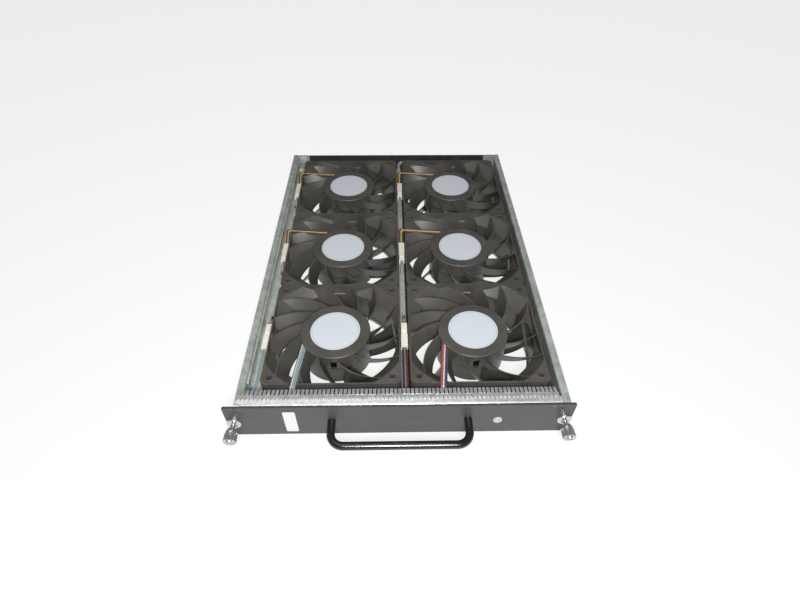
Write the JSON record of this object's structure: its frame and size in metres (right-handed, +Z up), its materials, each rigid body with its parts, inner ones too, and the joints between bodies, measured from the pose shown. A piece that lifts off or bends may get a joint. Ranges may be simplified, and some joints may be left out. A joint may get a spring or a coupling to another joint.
{
  "type": "switch fan tray",
  "caption": "Slide-in tray for a network chassis: ducted axial fans in a sheet-metal tray behind a plate with a pull handle, status light and captive thumbscrews.",
  "frame": {"origin": "middle of the overall box, at the underside of the tray floor", "axes": "+Y to the rear of the chassis (the way the tray slides in), +Z up, +X to the right seen from the front plate"},
  "size_m": [0.2898, 0.4338, 0.0418],
  "materials": {
    "dark_paint": "satin dark grey paint",
    "black_gloss": "gloss black coating",
    "zinc": "zinc-plated sheet steel, dull greenish grey",
    "spring_silver": "bright tinned spring strip",
    "nickel": "bright nickel plating",
    "fan_black": "moulded black plastic, slightly warm",
    "label_white": "blank printed film, pale",
    "cream": "natural nylon, cream white",
    "port_black": "black moulding",
    "contact": "gold-coloured plating",
    "lens": "milky clear lens",
    "board_green": "green circuit board",
    "loom_grey": "grey sleeved loom",
    "wire_red": "red insulation",
    "wire_yellow": "yellow insulation",
    "wire_blue": "blue insulation",
    "wire_black": "black insulation",
    "copper": "enamelled copper wire",
    "lamination": "stacked silicon steel",
    "steel": "plain steel"
  },
  "bodies": {
    "tray": {"blue_leads": "wire_blue", "centre_harness": "loom_grey", "centre_wire_trough": "zinc", "emi_gasket": "spring_silver", "faceplate": "dark_paint", "fan_bearings": "steel", "fan_boards": "board_green", "fan_frame_front_left": "fan_black", "fan_frame_front_right": "fan_black", "fan_frame_middle_left": "fan_black", "fan_frame_middle_right": "fan_black", "fan_frame_rear_left": "fan_black", "fan_frame_rear_right": "fan_black", "fan_labels": "label_white", "fan_nuts": "steel", "fan_studs": "steel", "front_channel": "zinc", "front_label": "label_white", "handle": "black_gloss", "handle_screws": "steel", "lead_plugs": "cream", "lead_sockets": "cream", "left_harness": "loom_grey", "left_rail": "zinc", "left_wire_trough": "zinc", "light_board": "board_green", "light_cable": "wire_black", "rear_connector": "port_black", "rear_contacts": "contact", "rear_panel": "zinc", "red_leads": "wire_red", "right_rail": "zinc", "screw_ferrules": "nickel", "stator_coils": "copper", "stator_cores": "lamination", "status_lens": "lens", "tray_floor": "zinc", "yellow_leads": "wire_yellow"},
    "rotor_front_left": {"impeller_front_left": "fan_black", "rotor_yoke_front_left": "steel", "fan_shaft_front_left": "steel"},
    "rotor_front_right": {"impeller_front_right": "fan_black", "rotor_yoke_front_right": "steel", "fan_shaft_front_right": "steel"},
    "rotor_middle_left": {"impeller_middle_left": "fan_black", "rotor_yoke_middle_left": "steel", "fan_shaft_middle_left": "steel"},
    "rotor_middle_right": {"impeller_middle_right": "fan_black", "rotor_yoke_middle_right": "steel", "fan_shaft_middle_right": "steel"},
    "rotor_rear_left": {"impeller_rear_left": "fan_black", "rotor_yoke_rear_left": "steel", "fan_shaft_rear_left": "steel"},
    "rotor_rear_right": {"impeller_rear_right": "fan_black", "rotor_yoke_rear_right": "steel", "fan_shaft_rear_right": "steel"},
    "left_clip": {"left_screw_clip": "steel"},
    "left_screw": {"left_thumbscrew": "nickel"},
    "right_clip": {"right_screw_clip": "steel"},
    "right_screw": {"right_thumbscrew": "nickel"}
  },
  "joints": [
    {"name": "spin_front_left", "type": "hinge", "parent": "tray", "child": "rotor_front_left", "pos_m": [-0.0586, -0.10605, 0.02], "axis": [0, 0, 1], "continuous": true},
    {"name": "spin_front_right", "type": "hinge", "parent": "tray", "child": "rotor_front_right", "pos_m": [0.0694, -0.10605, 0.02], "axis": [0, 0, 1], "continuous": true},
    {"name": "spin_middle_left", "type": "hinge", "parent": "tray", "child": "rotor_middle_left", "pos_m": [-0.0586, 0.01435, 0.02], "axis": [0, 0, 1], "continuous": true},
    {"name": "spin_middle_right", "type": "hinge", "parent": "tray", "child": "rotor_middle_right", "pos_m": [0.0694, 0.01435, 0.02], "axis": [0, 0, 1], "continuous": true},
    {"name": "spin_rear_left", "type": "hinge", "parent": "tray", "child": "rotor_rear_left", "pos_m": [-0.0586, 0.13475, 0.02], "axis": [0, 0, 1], "continuous": true},
    {"name": "spin_rear_right", "type": "hinge", "parent": "tray", "child": "rotor_rear_right", "pos_m": [0.0694, 0.13475, 0.02], "axis": [0, 0, 1], "continuous": true},
    {"name": "left_screw_push", "type": "slide", "parent": "tray", "child": "left_clip", "axis": [0, 1, 0], "range_m": [0, 0.004]},
    {"name": "left_screw_turn", "type": "hinge", "parent": "left_clip", "child": "left_screw", "pos_m": [-0.13865, -0.2, 0.0204], "axis": [0, 1, 0], "continuous": true},
    {"name": "right_screw_push", "type": "slide", "parent": "tray", "child": "right_clip", "axis": [0, 1, 0], "range_m": [0, 0.004]},
    {"name": "right_screw_turn", "type": "hinge", "parent": "right_clip", "child": "right_screw", "pos_m": [0.13865, -0.2, 0.0204], "axis": [0, 1, 0], "continuous": true}
  ]
}
